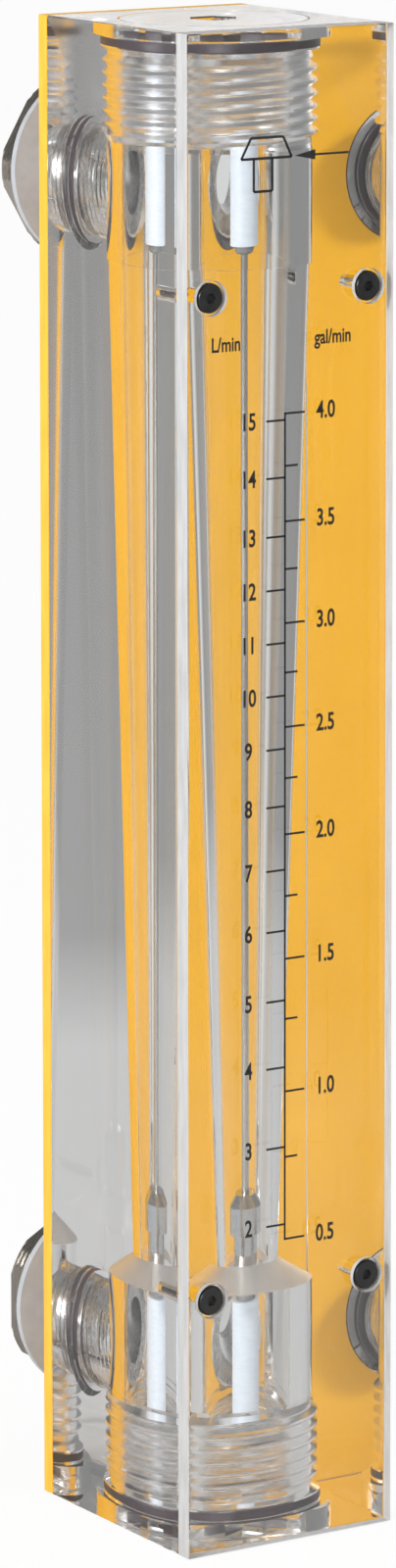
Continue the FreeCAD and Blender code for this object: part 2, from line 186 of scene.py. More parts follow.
acrylic = makeClearAcrylic("acrylic_clear", clearAcrylic["tint"], clearAcrylic["shine"])
# the frosted shoulder's peach tint is a painted reflection of the amber back plate, not the acrylic's own
# colour
frostedAcrylicPaintedAmber = makeClearAcrylic("acrylic_frosted_painted_amber", clearAcrylic["frostPaintedAmber"], clearAcrylic["frost"])
cutAcrylic = makeClearAcrylic("acrylic_thread", clearAcrylic["cutTint"], clearAcrylic["cut"])
sawnAcrylic = makeSurface("acrylic_sawn_edge", grey(0.42), grey(0.52), (0.5, 0.65),
                          scale=900, stretch=sawMarks, bump=0.3)
amberAcrylic = makeSurface("acrylic_amber", (0.79, 0.385, 0.000), (0.85, 0.42, 0.001), (0.22, 0.3),
                           scale=45, more={"Specular IOR Level": 0.15})
amberEdge = makeSurface("acrylic_amber_edge", (0.80, 0.42, 0.02), (0.88, 0.50, 0.04), (0.4, 0.55),
                        scale=900, stretch=sawMarks, bump=0.3)
sealRubber = makeSurface("seal_rubber", (0.030, 0.020, 0.026), (0.045, 0.030, 0.038), (0.35, 0.5),
                         scale=700, bump=0.2)
stopPlastic = makeSurface("stop_plastic", (0.57, 0.62, 0.69), (0.64, 0.69, 0.75), (0.35, 0.45),
                          scale=500, stretch=(1, 1, 6), bump=0.15)
bumperRubber = makeSurface("bumper_rubber", grey(0.16), grey(0.22), (0.45, 0.6), scale=900, bump=0.2)
rodSteel = makeSurface("rod_steel", grey(0.55), grey(0.66), (0.2, 0.3), metal=1.0,
                       scale=900, stretch=drawnMarks)
floatSteel = makeSurface("float_steel", (0.58, 0.59, 0.61), (0.68, 0.69, 0.71), (0.12, 0.2), metal=1.0,
                         scale=900, stretch=(1, 1, 8), bump=0.1)
fittingSteel = makeSurface("fitting_steel", (0.52, 0.51, 0.50), (0.62, 0.61, 0.60), (0.2, 0.32), metal=1.0,
                           scale=900, stretch=turnedMarks, bump=0.1)
flangeSteel = makeSurface("flange_steel", (0.42, 0.40, 0.39), (0.52, 0.50, 0.49), (0.45, 0.55), metal=0.35,
                          scale=500, bump=0.1)
nutSteel = makeSurface("nut_steel", (0.30, 0.265, 0.225), (0.42, 0.385, 0.34), (0.24, 0.36), metal=1.0,
                       scale=500, stretch=turnedMarks, bump=0.2)
washerSteel = makeSurface("washer_steel", (0.44, 0.46, 0.49), (0.50, 0.52, 0.55), (0.5, 0.6), metal=0.1,
                          scale=500, bump=0.2)
screwBlack = makeSurface("screw_black", grey(0.012), grey(0.02), (0.3, 0.45), scale=900, bump=0.2)
printInk = makeSurface("print_ink", grey(0.012), grey(0.02), (0.4, 0.5), scale=900)
print("materials made")


# columns round a turned piece, multiples of 12 so that a hexagon's corners fall on them
boreColumns = 192
portColumns = 144
smallColumns = 96
screwColumns = 48
nutColumns = 384


# one pitch of a thread, as shares of the pitch and of the depth
plugForm = [(0.0, 0.0), (0.10, 0.0), (0.44, 1.0), (0.66, 1.0)]
steelForm = [(0.0, 0.0), (0.14, 1.0), (0.86, 1.0)]
runOut = 0.6                         # turns over which a thread sinks in at its ends


def threadRows(thread, start, end):
    # rows of a helical thread; threads of one pitch on one axis mesh with each other
    pitch, minor, major = thread["pitch"], thread["minor"], thread["major"]
    rows = []
    for turn in range(math.floor(start / pitch) - 1, math.ceil(end / pitch) + 1):
        for share, rise in thread.get("form", steelForm):
            def row(u, lift=(turn + share) * pitch, rise=rise):
                z = min(max(lift + u * pitch, start), end)
                ease = min((z - start) / pitch, (end - z) / pitch, runOut) / runOut
                return minor + (major - minor) * rise * ease, z
            rows.append(row)
    return rows


def hexagonRadius(flats, u, turn=0):
    # the radius of a hexagon with a corner at turn degrees
    across = (u - turn / 360) * 6 % 1 - 0.5
    return flats / 2 / math.cos(across * math.pi / 3)


def turnedMesh(rows, columns=boreColumns):
    # turns rows round the Z axis; a row is a radius and height pair, or a function that gives one for a turn
    mesh = bmesh.new()
    grid = []
    for c in range(columns + 1):
        u = c / columns
        angle = 2 * math.pi * u
        line = []
        for row in rows:
            radius, height = row(u) if callable(row) else row
            line.append(mesh.verts.new((radius * math.cos(angle), radius * math.sin(angle), height)))
        grid.append(line)
    for left, right in zip(grid, grid[1:]):
        for j in range(len(rows) - 1):
            mesh.faces.new((left[j], right[j], right[j + 1], left[j + 1]))
    bmesh.ops.remove_doubles(mesh, verts=mesh.verts, dist=1e-4)
    bmesh.ops.dissolve_degenerate(mesh, edges=mesh.edges, dist=1e-5)
    bmesh.ops.recalc_face_normals(mesh, faces=mesh.faces)
    return mesh


def boxMesh(low, high, bevel=0.0):
    mesh = bmesh.new()
    bmesh.ops.create_cube(mesh, size=1)
    size, middle = high - low, (low + high) / 2
    for vertex in mesh.verts:
        vertex.co = Vector([vertex.co[i] * size[i] + middle[i] for i in range(3)])
    if bevel:
        bmesh.ops.bevel(mesh, geom=mesh.edges[:], offset=bevel, segments=2, profile=0.6, affect="EDGES")
    bmesh.ops.recalc_face_normals(mesh, faces=mesh.faces)
    return mesh


def makeObject(name, mesh, place=None):
    # mesh is in millimetres; place turns and moves it first
    if place is not None:
        mesh.transform(place)
    mesh.transform(Matrix.Scale(mm, 4))
    data = bpy.data.meshes.new(name)
    mesh.to_mesh(data)
    mesh.free()
    piece = bpy.data.objects.new(name, data)
    scene.collection.objects.link(piece)
    return piece


def cutAway(piece, cutters):
    for cutter in cutters:
        modifier = piece.modifiers.new("cut", "BOOLEAN")
        modifier.operation = "DIFFERENCE"
        modifier.solver = "MANIFOLD"
        modifier.object = cutter
    bpy.context.view_layer.update()
    graph = bpy.context.evaluated_depsgraph_get()
    data = bpy.data.meshes.new_from_object(piece.evaluated_get(graph))
    piece.modifiers.clear()
    piece.data = data
    for cutter in cutters:
        bpy.data.objects.remove(cutter)


crispCorner = 12                     # degrees; a soft corner bends the view through clear acrylic


def smooth(piece):
    piece.data.shade_smooth()
    piece.data.set_sharp_from_angle(angle=math.radians(crispCorner))


def finishPiece(piece, body, materials, nodes=(), pick=None):
    # pick gives the material number of a face; without it the whole piece has the first
    piece.data.materials.clear()
    for material in materials:
        piece.data.materials.append(material)
    for face in piece.data.polygons:
        face.material_index = pick(face) if pick else 0
    smooth(piece)
    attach(piece, body)
    if nodes:
        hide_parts(*nodes)
    return piece


upright = Matrix.Identity(4)
inverted = Matrix.Rotation(math.pi, 4, "X")
backward = Matrix.Rotation(-math.pi / 2, 4, "X")     # local Z runs along +Y


camera = {
    "place": (-0.5808, -0.9321, 0.2118),
    "turn": 32.40,                   # degrees to the right of +Y
    "dip": 7.31,
    "roll": 0.07,
    "lens": 158.98,
    "shift": -0.3,                   # frames the meter from top to base
}


def addCamera():
    data = bpy.data.cameras.new("camera")
    data.lens = camera["lens"]
    data.shift_y = camera["shift"]
    data.clip_start = 0.01
    holder = bpy.data.objects.new("camera", data)
    scene.collection.objects.link(holder)
    holder.location = camera["place"]
    holder.rotation_euler = (
        Matrix.Rotation(math.radians(-camera["turn"]), 4, "Z")
        @ Matrix.Rotation(math.radians(90 - camera["dip"]), 4, "X")
        @ Matrix.Rotation(math.radians(-camera["roll"]), 4, "Z")
    ).to_euler()
    scene.camera = holder


addCamera()


bore = {
    "blockEdge": 0.3,
    "tubeBottomRadius": 5.75,
    "tubeBottomLevel": 42.4,         # above the base
    "tubeTopRadius": 11.4,
    "tubeTopMargin": 37.9,           # below the top
    "chamberRadius": 11.8,
    "shoulderRise": 3.635,
    "mouthRadius": 15.1,
    "mouthDepth": 2.4,
    "sealRadius": 13.18,
    "sealEnd": 4.26,
    "threadStart": 5.06,
    "threadEnd": 19.1,               # the tapped thread runs on past the plug's end
    "overshoot": 1.0,                # of a cutter past the face it starts from
    "step": 0.01,                    # between the end of a thread and its plain run
    "relief": 0.7,                   # the slope from the thread to the chamber
    "slack": 0.1,                    # for telling the thread's faces from the others
}
plugThread = {"pitch": 2.0, "minor": 11.58, "major": 12.68, "form": plugForm}
plug = {
    "length": 16.5,
    "groove": 11.35,
    "chamfer": 0.9,
    "chamferSlope": 0.6,             # inwards, as a share of its length
    "socketFlats": 6.8,
    "socketDepth": 5.0,
    "edge": 0.25,
    "stopRoom": 3.63,
    "airGap": 0.03,                  # to the mouth and the stop
    "threadGap": 0.05,
}
port = {
    "noseRadius": 9.1,
    "pitch": 1.27,
    "depth": 0.4,
    "bite": 0.02,                    # the steel thread stands in the acrylic's by this much
    "sealRadius": 10.03,
    "sealDepth": 1.86,
    "run": 0.05,                     # plain length between the tapped thread and the seal's seat
    "bore": 5.5,
}


def shifted(thread, step):
    return {**thread, "minor": thread["minor"] + step, "major": thread["major"] + step}


def endRows(thread):
    # one end of the bore, from the mouth inwards, with heights from the block's end
    return [
        (0, -bore["overshoot"]),
        (bore["mouthRadius"], -bore["overshoot"]),
        (bore["mouthRadius"], bore["mouthDepth"]),
        (bore["sealRadius"], bore["mouthDepth"]),
        (bore["sealRadius"], bore["sealEnd"]),
        (thread["minor"], bore["threadStart"]),
        *threadRows(thread, bore["threadStart"], bore["threadEnd"]),
        (thread["minor"], bore["threadEnd"] + bore["step"]),
        (bore["chamberRadius"], bore["threadEnd"] + bore["relief"]),
    ]


def endCutter(name, end, meet):
    # the cavity of one end, up to a plane where the two ends and the tube meet
    rows = endRows(shifted(plugThread, plug["threadGap"]))
    rows += [(bore["chamberRadius"], meet), (0, meet)]
    place = Matrix.Translation((tubeAxis.x, tubeAxis.y, end)) @ (upright if end < tubeAxis.z else inverted)
    return makeObject(name, turnedMesh(rows), place)


def tubeCutter():
    low, high = blockLow.z, blockHigh.z
    shoulder = low + bore["tubeBottomLevel"] - bore["shoulderRise"]
    topLevel = high - bore["tubeTopMargin"]
    rows = [
        (0, shoulder),
        (bore["chamberRadius"], shoulder),
        (bore["tubeBottomRadius"], low + bore["tubeBottomLevel"]),
        (bore["tubeTopRadius"], topLevel),
        (0, topLevel),
    ]
    return makeObject("tube_cutter", turnedMesh(rows), Matrix.Translation((tubeAxis.x, tubeAxis.y, 0)))


def noseThread(step=0.0):
    major = port["noseRadius"]
    return shifted({"pitch": port["pitch"], "minor": major - port["depth"], "major": major}, step)


def portCutter(name):
    # tapped from the chamber to the seal's seat, in the fitting's own frame so that the threads mesh
    low = boxOf(f"{name}_fitting")[0]
    thread = noseThread(-port["bite"])
    chamber = tubeAxis.y - low.y
    seat = blockHigh.y - low.y - port["sealDepth"]
    back = blockHigh.y - low.y + bore["overshoot"]
    rows = [
        (0, chamber),
        (thread["minor"], chamber),
        *threadRows(thread, chamber + bore["step"], seat - port["run"]),
        (thread["minor"], seat),
        (port["sealRadius"], seat),
        (port["sealRadius"], back),
        (0, back),
    ]
    place = Matrix.Translation((tubeAxis.x, low.y, portLevels[name])) @ backward
    return makeObject(f"{name}_hole", turnedMesh(rows, portColumns), place)


screw = {
    "head": 2.35,
    "headHeight": 1.0,
    "shank": 1.1,
    "reach": 7.9,                    # into the block
    "pitch": 0.5,
    "threadDepth": 0.2,
    "keyFlats": 1.5,
    "keyDepth": 0.6,
    "pocketRadius": 2.8,
    "pocketDepth": 1.3,
    "room": 0.08,                    # round the shank, in the block
    "plateRoom": 0.1,                # and in the plate
    "tipRoom": 0.1,
    "point": 0.5,
    "bevel": 0.3,
    "neck": 0.2,                     # plain length under the head
}


def screwCutter(node):
    middle = middleOf(node)
    tip = screw["reach"] + bore["overshoot"]
    room = screw["shank"] + screw["room"]
    end = tip + screw["tipRoom"]
    rows = [(0, 0), (room, 0), (room, end), (0, end + screw["point"])]
    place = Matrix.Translation((middle.x, blockLow.y - bore["overshoot"], middle.z)) @ backward
    return makeObject(f"{node}_hole", turnedMesh(rows, screwColumns), place)


screwNodes = [f"plate_screw_{end}_{side}" for end in ("bottom", "top") for side in ("left", "right")]
portLevels = {name: middleOf(f"{name}_fitting").z for name in ("inlet", "outlet")}


def boreFace(face):
    # the sloping shoulder under the measuring tube is left as turned, and so are the threads
    if inPlugThread(face.center):
        return 2
    low, high = bore["tubeBottomLevel"] - bore["shoulderRise"], bore["tubeBottomLevel"]
    level = face.center.z / mm - blockLow.z
    away = math.hypot(face.center.x / mm - tubeAxis.x, face.center.y / mm - tubeAxis.y)
    return 1 if low < level < high and away < bore["chamberRadius"] else 0


def inPlugThread(point):
    level = min(point.z / mm - blockLow.z, blockHigh.z - point.z / mm)
    away = math.hypot(point.x / mm - tubeAxis.x, point.y / mm - tubeAxis.y)
    inside = bore["threadStart"] < level < bore["threadEnd"]
    return inside and away > plugThread["minor"] - bore["slack"]


def makeBlock():
    block = makeObject("clear_block", boxMesh(blockLow, blockHigh, bore["blockEdge"]))
    shoulder = blockLow.z + bore["tubeBottomLevel"] - bore["shoulderRise"]
    cutters = [
        endCutter("lower_bore", blockLow.z, shoulder - blockLow.z),
        endCutter("upper_bore", blockHigh.z, bore["tubeTopMargin"]),
        tubeCutter(),
    ]
    cutters += [portCutter(name) for name in portLevels]
    cutters += [screwCutter(node) for node in screwNodes]
    cutAway(block, cutters)
    finishes = [acrylic, frostedAcrylicPaintedAmber, cutAcrylic]
    return finishPiece(block, "meter", finishes, ["body_block"], boreFace)


def socketRow(height, grow=0.0):
    # a row of the plug's hexagon socket
    return lambda u: (hexagonRadius(plug["socketFlats"], u) + grow, height)


def threadFace(face):
    return 1 if inPlugThread(face.center) else 0


def makePlug(end):
    # modelled from its outer face inwards
    node = f"{end}_plug"
    low, high = boxOf(node)
    ring = boxOf(f"{node}_ring")
    stop = boxOf(f"{end}_stop")
    face = low.z if end == "bottom" else high.z
    seat = min(abs(stop[0].z - face), abs(stop[1].z - face)) - plug["airGap"]
    headRadius = (high.x - low.x) / 2
    edge, length = plug["edge"], plug["length"]
    grooveEnd = bore["mouthDepth"] + ring[1].z - ring[0].z + 3 * plug["airGap"]
    rows = [
        (0, plug["socketDepth"]),
        socketRow(plug["socketDepth"]),
        socketRow(edge),
        socketRow(0, edge),
        (headRadius - edge, 0),
        (headRadius, edge),
        (headRadius, bore["mouthDepth"] - plug["airGap"]),
        (plug["groove"], bore["mouthDepth"] - plug["airGap"]),
        (plug["groove"], grooveEnd),
        (plugThread["minor"], bore["threadStart"]),
        *threadRows(plugThread, bore["threadStart"], length - plug["chamfer"]),
        (plugThread["minor"], length - plug["chamfer"] + bore["step"]),
        (plugThread["minor"] - plug["chamfer"] * plug["chamferSlope"], length),
        (plug["stopRoom"], length),
        (plug["stopRoom"], seat),
        (0, seat),
    ]
    place = Matrix.Translation((tubeAxis.x, tubeAxis.y, face)) @ (upright if end == "bottom" else inverted)
    piece = makeObject(f"clear_{node}", turnedMesh(rows), place)
    return finishPiece(piece, "meter", [acrylic, cutAcrylic], [node], threadFace)


makeBlock()
makePlug("bottom")
makePlug("top")
print("block and plugs made")


plates = {
    "airGap": 0.04,                  # between a plate and the block
    "edge": 0.25,
    "flangeRoom": 11.5,
    "through": 6,                    # depth of a cutter that goes through a plate
    "ahead": 1,                      # and how far in front of it the cutter starts
}


def edgeFace(face):
    # sawn edges are the faces that look sideways, up or down
    return 0 if abs(face.normal.y) > 0.7 else 1


def pocketCutter(node, front):
    middle = middleOf(node)
    room = screw["shank"] + screw["plateRoom"]
    rows = [
        (0, -plates["ahead"]),
        (screw["pocketRadius"], -plates["ahead"]),
        (screw["pocketRadius"], screw["pocketDepth"]),
        (room, screw["pocketDepth"]),
        (room, plates["through"]),
        (0, plates["through"]),
    ]
    place = Matrix.Translation((middle.x, front, middle.z)) @ backward
    return makeObject(f"{node}_pocket", turnedMesh(rows, smallColumns), place)


def makeScalePlate():
    low, high = boxOf("scale_plate")
    high.y -= plates["airGap"]
    plate = makeObject("clear_scale_plate", boxMesh(low, high, plates["edge"]))
    cutAway(plate, [pocketCutter(node, low.y) for node in screwNodes])
    return finishPiece(plate, "meter", [acrylic, sawnAcrylic], ["scale_plate"], edgeFace)


def makeBackPlate():
    low, high = boxOf("back_plate")
    low.y += plates["airGap"]
    plate = makeObject("amber_back_plate", boxMesh(low, high, plates["edge"]))
    holes = []
    for name, level in portLevels.items():
        room, start, end = plates["flangeRoom"], -2 * plates["ahead"], plates["through"]
        rows = [(0, start), (room, start), (room, end), (0, end)]
        place = Matrix.Translation((tubeAxis.x, low.y, level)) @ backward
        holes.append(makeObject(f"{name}_tail_hole", turnedMesh(rows, smallColumns), place))
    cutAway(plate, holes)
    return finishPiece(plate, "meter", [amberAcrylic, amberEdge], ["back_plate"], edgeFace)


def keyRow(height):
    return lambda u: (hexagonRadius(screw["keyFlats"], u), height)


def makePlateScrew(node):
    middle = middleOf(node)
    front = boxOf("scale_plate")[0].y
    head = screw["pocketDepth"] - screw["headHeight"]
    tip = blockLow.y - front + screw["reach"]
    shank = screw["shank"]
    thread = {"pitch": screw["pitch"], "minor": shank - screw["threadDepth"], "major": shank}
    point, bevel = screw["point"], screw["bevel"]
    under = head + screw["headHeight"]
    rows = [
        (0, head + screw["keyDepth"]),
        keyRow(head + screw["keyDepth"]),
        keyRow(head),
        (screw["head"] - bevel, head),
        (screw["head"], head + bevel),
        (screw["head"], under),
        (thread["minor"], under),
        *threadRows(thread, under + screw["neck"], tip - point),
        (thread["minor"], tip - point),
        (thread["minor"] / 2, tip),
        (0, tip),
    ]
    place = Matrix.Translation((middle.x, front, middle.z)) @ backward
    piece = makeObject(f"{node}_turned", turnedMesh(rows, screwColumns), place)
    return finishPiece(piece, "meter", [screwBlack], [node])


makeScalePlate()
makeBackPlate()
for node in screwNodes:
    makePlateScrew(node)
print("plates and their screws made")


fitting = {
    "groove": 8.2,
    "flange": 11.3,                  # closes the seal's seat, inside the back plate's hole
    "flangeThickness": 2.3,
    "pipe": 7.5,
    "pipeDepth": 12.0,
    "pipePitch": 1.411,
    "tailPitch": 1.27,
    "pipeThreadDepth": 0.75,
    "tailDepth": 0.62,
    "tailStart": 3.4,                # of its thread, behind the block
    "shoulderSlope": 0.2,            # the length over which the tail narrows to its thread
    "noseRun": 0.1,                  # plain length at both ends of the nose's thread
    "mouthStep": 0.3,                # the flat round the pipe thread's mouth
    "pipeRun": 0.5,                  # plain length at the pipe thread's inner end
    "pipeSlope": 1.2,
    "chamfer": 0.8,
    "ringGap": 0.03,
}


def flangeFace(face):
    # the face that closes the seal's seat has a duller finish
    return 1 if abs(face.center.y / mm - blockHigh.y) < 0.01 else 0


def makeFitting(name):
    low, high = boxOf(f"{name}_fitting")
    middle = (low + high) / 2
    tail = (high.x - low.x) / 2
    length = high.y - low.y
    shoulder = blockHigh.y - low.y
    grooveStart = boxOf(f"{name}_ring")[0].y - low.y - fitting["ringGap"]
    nose = noseThread()
    tailThread = {"pitch": fitting["tailPitch"], "minor": tail - fitting["tailDepth"], "major": tail}
    pipeThread = {"pitch": fitting["pipePitch"], "major": fitting["pipe"],
                  "minor": fitting["pipe"] + fitting["pipeThreadDepth"]}
    chamfer = fitting["chamfer"]
    pipeEnd = length - fitting["pipeDepth"]
    pipeRun = fitting["pipeRun"]
    tailStart = shoulder + fitting["tailStart"]
    outer = [
        (port["bore"], 0.0),
        (nose["minor"], 0.0),
        *threadRows(nose, fitting["noseRun"], grooveStart - fitting["noseRun"]),
        (nose["minor"], grooveStart),
        (fitting["groove"], grooveStart),
        (fitting["groove"], shoulder),
        (fitting["flange"], shoulder),
        (fitting["flange"], shoulder + fitting["flangeThickness"]),
        (tail, shoulder + fitting["flangeThickness"]),
        (tail, tailStart - fitting["shoulderSlope"]),
        (tailThread["minor"], tailStart),
        *threadRows(tailThread, tailStart, length - chamfer),
        (tailThread["minor"], length - chamfer + bore["step"]),
        (tail - chamfer, length),
        (pipeThread["minor"] + fitting["mouthStep"], length),
    ]
    inner = [
        (pipeThread["minor"], length - chamfer),
        *reversed(threadRows(pipeThread, pipeEnd + pipeRun, length - chamfer)),
        (pipeThread["minor"], pipeEnd + pipeRun - bore["step"]),
        (port["bore"], pipeEnd - fitting["pipeSlope"]),
        (port["bore"], 0.0),
    ]
    place = Matrix.Translation((middle.x, low.y, middle.z)) @ backward
    piece = makeObject(f"{name}_fitting_turned", turnedMesh(outer + inner, portColumns), place)
    finishes = [fittingSteel, flangeSteel]
    return finishPiece(piece, "meter", finishes, [f"{name}_fitting"], flangeFace)


nut = {
    "flats": 27.4,
    "corner": 15.1,                  # radius of the turned corners
    "bevel": 0.7,
    "ridge": 1.1,                    # from one tool mark to the next
    "ridgeDepth": 0.22,
    "ridgeFlat": (0.25, 0.6),        # where its flat starts and ends, as shares of a ridge
    "bore": 9.95,
}


def makeNut(name, turn):
    low, high = boxOf(f"{name}_nut")
    middle = (low + high) / 2
    thick = high.y - low.y
    edge, deep = nut["bevel"], nut["ridgeDepth"]
    marks = round((thick - 2 * edge) / nut["ridge"])
    step = (thick - 2 * edge) / marks

    def rimRow(radius, height):
        return lambda u: (min(hexagonRadius(nut["flats"], u, turn), radius), height)

    rows = [(nut["bore"], 0), rimRow(nut["corner"] - edge, 0)]
    for i in range(marks):
        start = edge + i * step
        rows += [
            rimRow(nut["corner"] - deep, start),
            *(rimRow(nut["corner"], start + step * share) for share in nut["ridgeFlat"]),
        ]
    rows += [
        rimRow(nut["corner"] - deep, thick - edge),
        rimRow(nut["corner"] - edge, thick),
        (nut["bore"], thick),
        (nut["bore"], 0),
    ]
    place = Matrix.Translation((middle.x, low.y, middle.z)) @ backward
    piece = makeObject(f"{name}_nut_turned", turnedMesh(rows, nutColumns), place)
    return finishPiece(piece, "meter", [nutSteel], [f"{name}_nut"])


for name, turn in (("inlet", 30), ("outlet", 0)):
    makeFitting(name)
    makeNut(name, turn)
print("fittings and nuts made")


seal = {
    "press": 0.02,                   # into the acrylic
    "corner": 0.3,
    "sideGap": 0.02,
    "rounding": 0.3,                 # how far in a corner's middle lies, as a share of the corner
}


def makeSeal(node, axis, inner, outer):
    # an O-ring squeezed into its groove, between two radii
    low, high = boxOf(node)
    start, thick = low[axis], high[axis] - low[axis]
    outer += seal["press"]
    corner, gap = seal["corner"], seal["sideGap"]
    inset = corner * seal["rounding"]
    rows = [
        (inner, corner),
        (inner + corner, gap),
        (outer - corner, gap),
        (outer - inset, inset),
        (outer, corner),
        (outer, thick - corner),
        (outer - inset, thick - inset),
        (outer - corner, thick - gap),
        (inner + corner, thick - gap),
        (inner, thick - corner),
        (inner, corner),
    ]
    middle = (low + high) / 2
    middle[axis] = start
    place = Matrix.Translation(middle) @ (backward if axis == 1 else upright)
    piece = makeObject(f"{node}_pressed", turnedMesh(rows), place)
    return finishPiece(piece, "meter", [sealRubber], [node])


for end in ("top", "bottom"):
    makeSeal(f"{end}_plug_ring", 2, plug["groove"], bore["sealRadius"])
for name in portLevels:
    makeSeal(f"{name}_ring", 1, fitting["groove"], port["sealRadius"])

bumper = {
    "radius": 2.6,
    "rim": 2.5,
    "crown": 2.3,
    "tip": 1.75,
    "bore": 0.97,
    "round": 0.35,
    "give": 0.03,                    # shorter than its space, which keeps it off the float
}


def makeBumper(end):
    node = f"{end}_bumper"
    low, high = boxOf(node)
    height = high.z - low.z - bumper["give"]
    base = low.z if end == "bottom" else high.z
    bevel = bumper["round"]
    rows = [
        (bumper["bore"], 0),
        (bumper["radius"], 0),
        (bumper["rim"], height - 2 * bevel),
        (bumper["crown"], height - bevel),
        (bumper["tip"], height),
        (bumper["bore"], height),
        (bumper["bore"], 0),
    ]
    place = Matrix.Translation((tubeAxis.x, tubeAxis.y, base)) @ (upright if end == "bottom" else inverted)
    piece = makeObject(f"{node}_moulded", turnedMesh(rows, smallColumns), place)
    return finishPiece(piece, "meter", [bumperRubber], [node])


for end in ("top", "bottom"):
    makeBumper(end)
print("seals and bumpers made")


kept = {
    "top_stop": stopPlastic, "bottom_stop": stopPlastic,
    "guide_rod": rodSteel, "float": floatSteel,
    "inlet_washer": washerSteel, "outlet_washer": washerSteel,
}
for node, material in kept.items():
    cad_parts[node].material_slots[0].material = material
print("kept pieces finished:", len(kept))


scalePrint = {
    "ink": 0.02,
    "spine": -1.15,                  # across from the plate's middle line
    "line": 0.34,
    "leftReach": 3.45,
    "rightReach": 3.65,
    "minorReach": 2.35,
    "figureHeight": 0.73,            # of a figure of the font at size 1
    "numberHeight": 2.75,
    "narrow": 0.76,
    "bold": 0.02,
    "leftMiddle": -7.9,
    "rightMiddle": 6.4,
    "units": {"L/min": (-12.0, 191.4), "gal/min": (7.7, 191.4)},
    "unitHeight": 2.3,
    "markLine": 0.42,
    "tailLine": 0.336,
    "floatMark": [(-7.4, 223.1), (-1.5, 223.1), (0.05, 219.9), (-9.2, 219.9), (-7.4, 223.1)],
    "stemMark": [(-6.9, 219.9), (-6.9, 214.8), (-3.5, 214.8), (-3.5, 219.9)],
    "arrow": [(0.6, 220.0), (4.4, 220.8), (4.4, 219.2)],
    "arrowTail": (10.6, 220.0),
    "litres": {15: 179.0, 14: 170.0, 13: 160.8, 12: 152.4, 11: 144.0, 10: 135.7, 9: 127.3, 8: 118.2,
               7: 108.1, 6: 98.4, 5: 87.3, 4: 76.6, 3: 63.8, 2: 51.4},
    "gallons": {4.0: 180.0, 3.75: 171.8, 3.5: 163.1, 3.25: 155.6, 3.0: 147.1, 2.75: 139.3, 2.5: 130.7,
                2.25: 122.6, 2.0: 113.7, 1.75: 103.9, 1.5: 93.9, 1.25: 84.3, 1.0: 72.7, 0.75: 62.2,
                0.5: 49.0},
}


def inkPatch(name, corners):
    # a thin printed shape on the plate's face, from its corners as X and height
    front = boxOf("scale_plate")[0].y
    mesh = bmesh.new()
    outer = [mesh.verts.new((x, front - scalePrint["ink"], z)) for x, z in corners]
    inner = [mesh.verts.new((x, front, z)) for x, z in corners]
    mesh.faces.new(outer)
    mesh.faces.new(inner[::-1])
    for i in range(len(corners)):
        following = (i + 1) % len(corners)
        mesh.faces.new((outer[i], inner[i], inner[following], outer[following]))
    bmesh.ops.recalc_face_normals(mesh, faces=mesh.faces)
    return makeObject(name, mesh)


def inkBar(name, start, end, width):
    a, b = Vector(start), Vector(end)
    along = (b - a).normalized()
    side = Vector((-along.y, along.x)) * width / 2
    return inkPatch(name, [a - side, b - side, b + side, a + side])


def inkWords(name, text, place, height):
    curve = bpy.data.curves.new(name, "FONT")
    curve.body = text
    curve.size = 1
    curve.align_x = "CENTER"
    curve.align_y = "CENTER"
    curve.extrude = 0.5
    curve.offset = scalePrint["bold"]
    holder = bpy.data.objects.new(name, curve)
    scene.collection.objects.link(holder)
    bpy.context.view_layer.update()
    size = height / scalePrint["figureHeight"] * mm
    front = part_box("scale_plate")[0].y
    data = bpy.data.meshes.new_from_object(holder)
    bpy.data.objects.remove(holder)
    data.transform(Matrix.Diagonal((size * scalePrint["narrow"], size, scalePrint["ink"] * mm, 1)))
    data.transform(Matrix.Translation((place[0] * mm, front - scalePrint["ink"] * mm / 2, place[1] * mm))
                   @ Matrix.Rotation(math.pi / 2, 4, "X"))
    piece = bpy.data.objects.new(name, data)
    scene.collection.objects.link(piece)
    return piece


def joinInk(name, parts):
    mesh = bmesh.new()
    for part in parts:
        mesh.from_mesh(part.data)
        bpy.data.objects.remove(part)
    data = bpy.data.meshes.new(name)
    mesh.to_mesh(data)
    mesh.free()
    piece = bpy.data.objects.new(name, data)
    scene.collection.objects.link(piece)
    data.materials.append(printInk)
    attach(piece, "meter")
    return piece


def makeScalePrint():
    base = blockLow.z
    spine = scalePrint["spine"]
    line = scalePrint["line"]
    tall = scalePrint["numberHeight"]
    levels = [*scalePrint["litres"].values(), *scalePrint["gallons"].values()]
    low, high = base + min(levels), base + max(levels)
    bars = [inkBar("spine", (spine, low - line / 2), (spine, high + line / 2), line)]
    words = []
    for value, level in scalePrint["litres"].items():
        z = base + level
        bars.append(inkBar("tick", (spine - scalePrint["leftReach"], z), (spine, z), line))
        words.append(inkWords("number", str(value), (scalePrint["leftMiddle"], z), tall))
    for value, level in scalePrint["gallons"].items():
        z = base + level
        major = value * 2 == int(value * 2)
        reach = scalePrint["rightReach"] if major else scalePrint["minorReach"]
        bars.append(inkBar("tick", (spine, z), (spine + reach, z), line))
        if major:
            words.append(inkWords("number", f"{value:.1f}", (scalePrint["rightMiddle"], z), tall))
    for outline in (scalePrint["floatMark"], scalePrint["stemMark"]):
        for (x1, z1), (x2, z2) in zip(outline, outline[1:]):
            bars.append(inkBar("mark", (x1, base + z1), (x2, base + z2), scalePrint["markLine"]))
    head = [(x, base + z) for x, z in scalePrint["arrow"]]
    tail = scalePrint["arrowTail"]
    bars.append(inkPatch("arrow", head))
    start, end = (head[1][0], head[0][1]), (tail[0], base + tail[1])
    bars.append(inkBar("arrow_tail", start, end, scalePrint["tailLine"]))
    for text, (x, z) in scalePrint["units"].items():
        words.append(inkWords("unit", text, (x, base + z), scalePrint["unitHeight"]))
    joinInk("scale_lines", bars)
    joinInk("scale_numbers", words)


makeScalePrint()
print("print made")


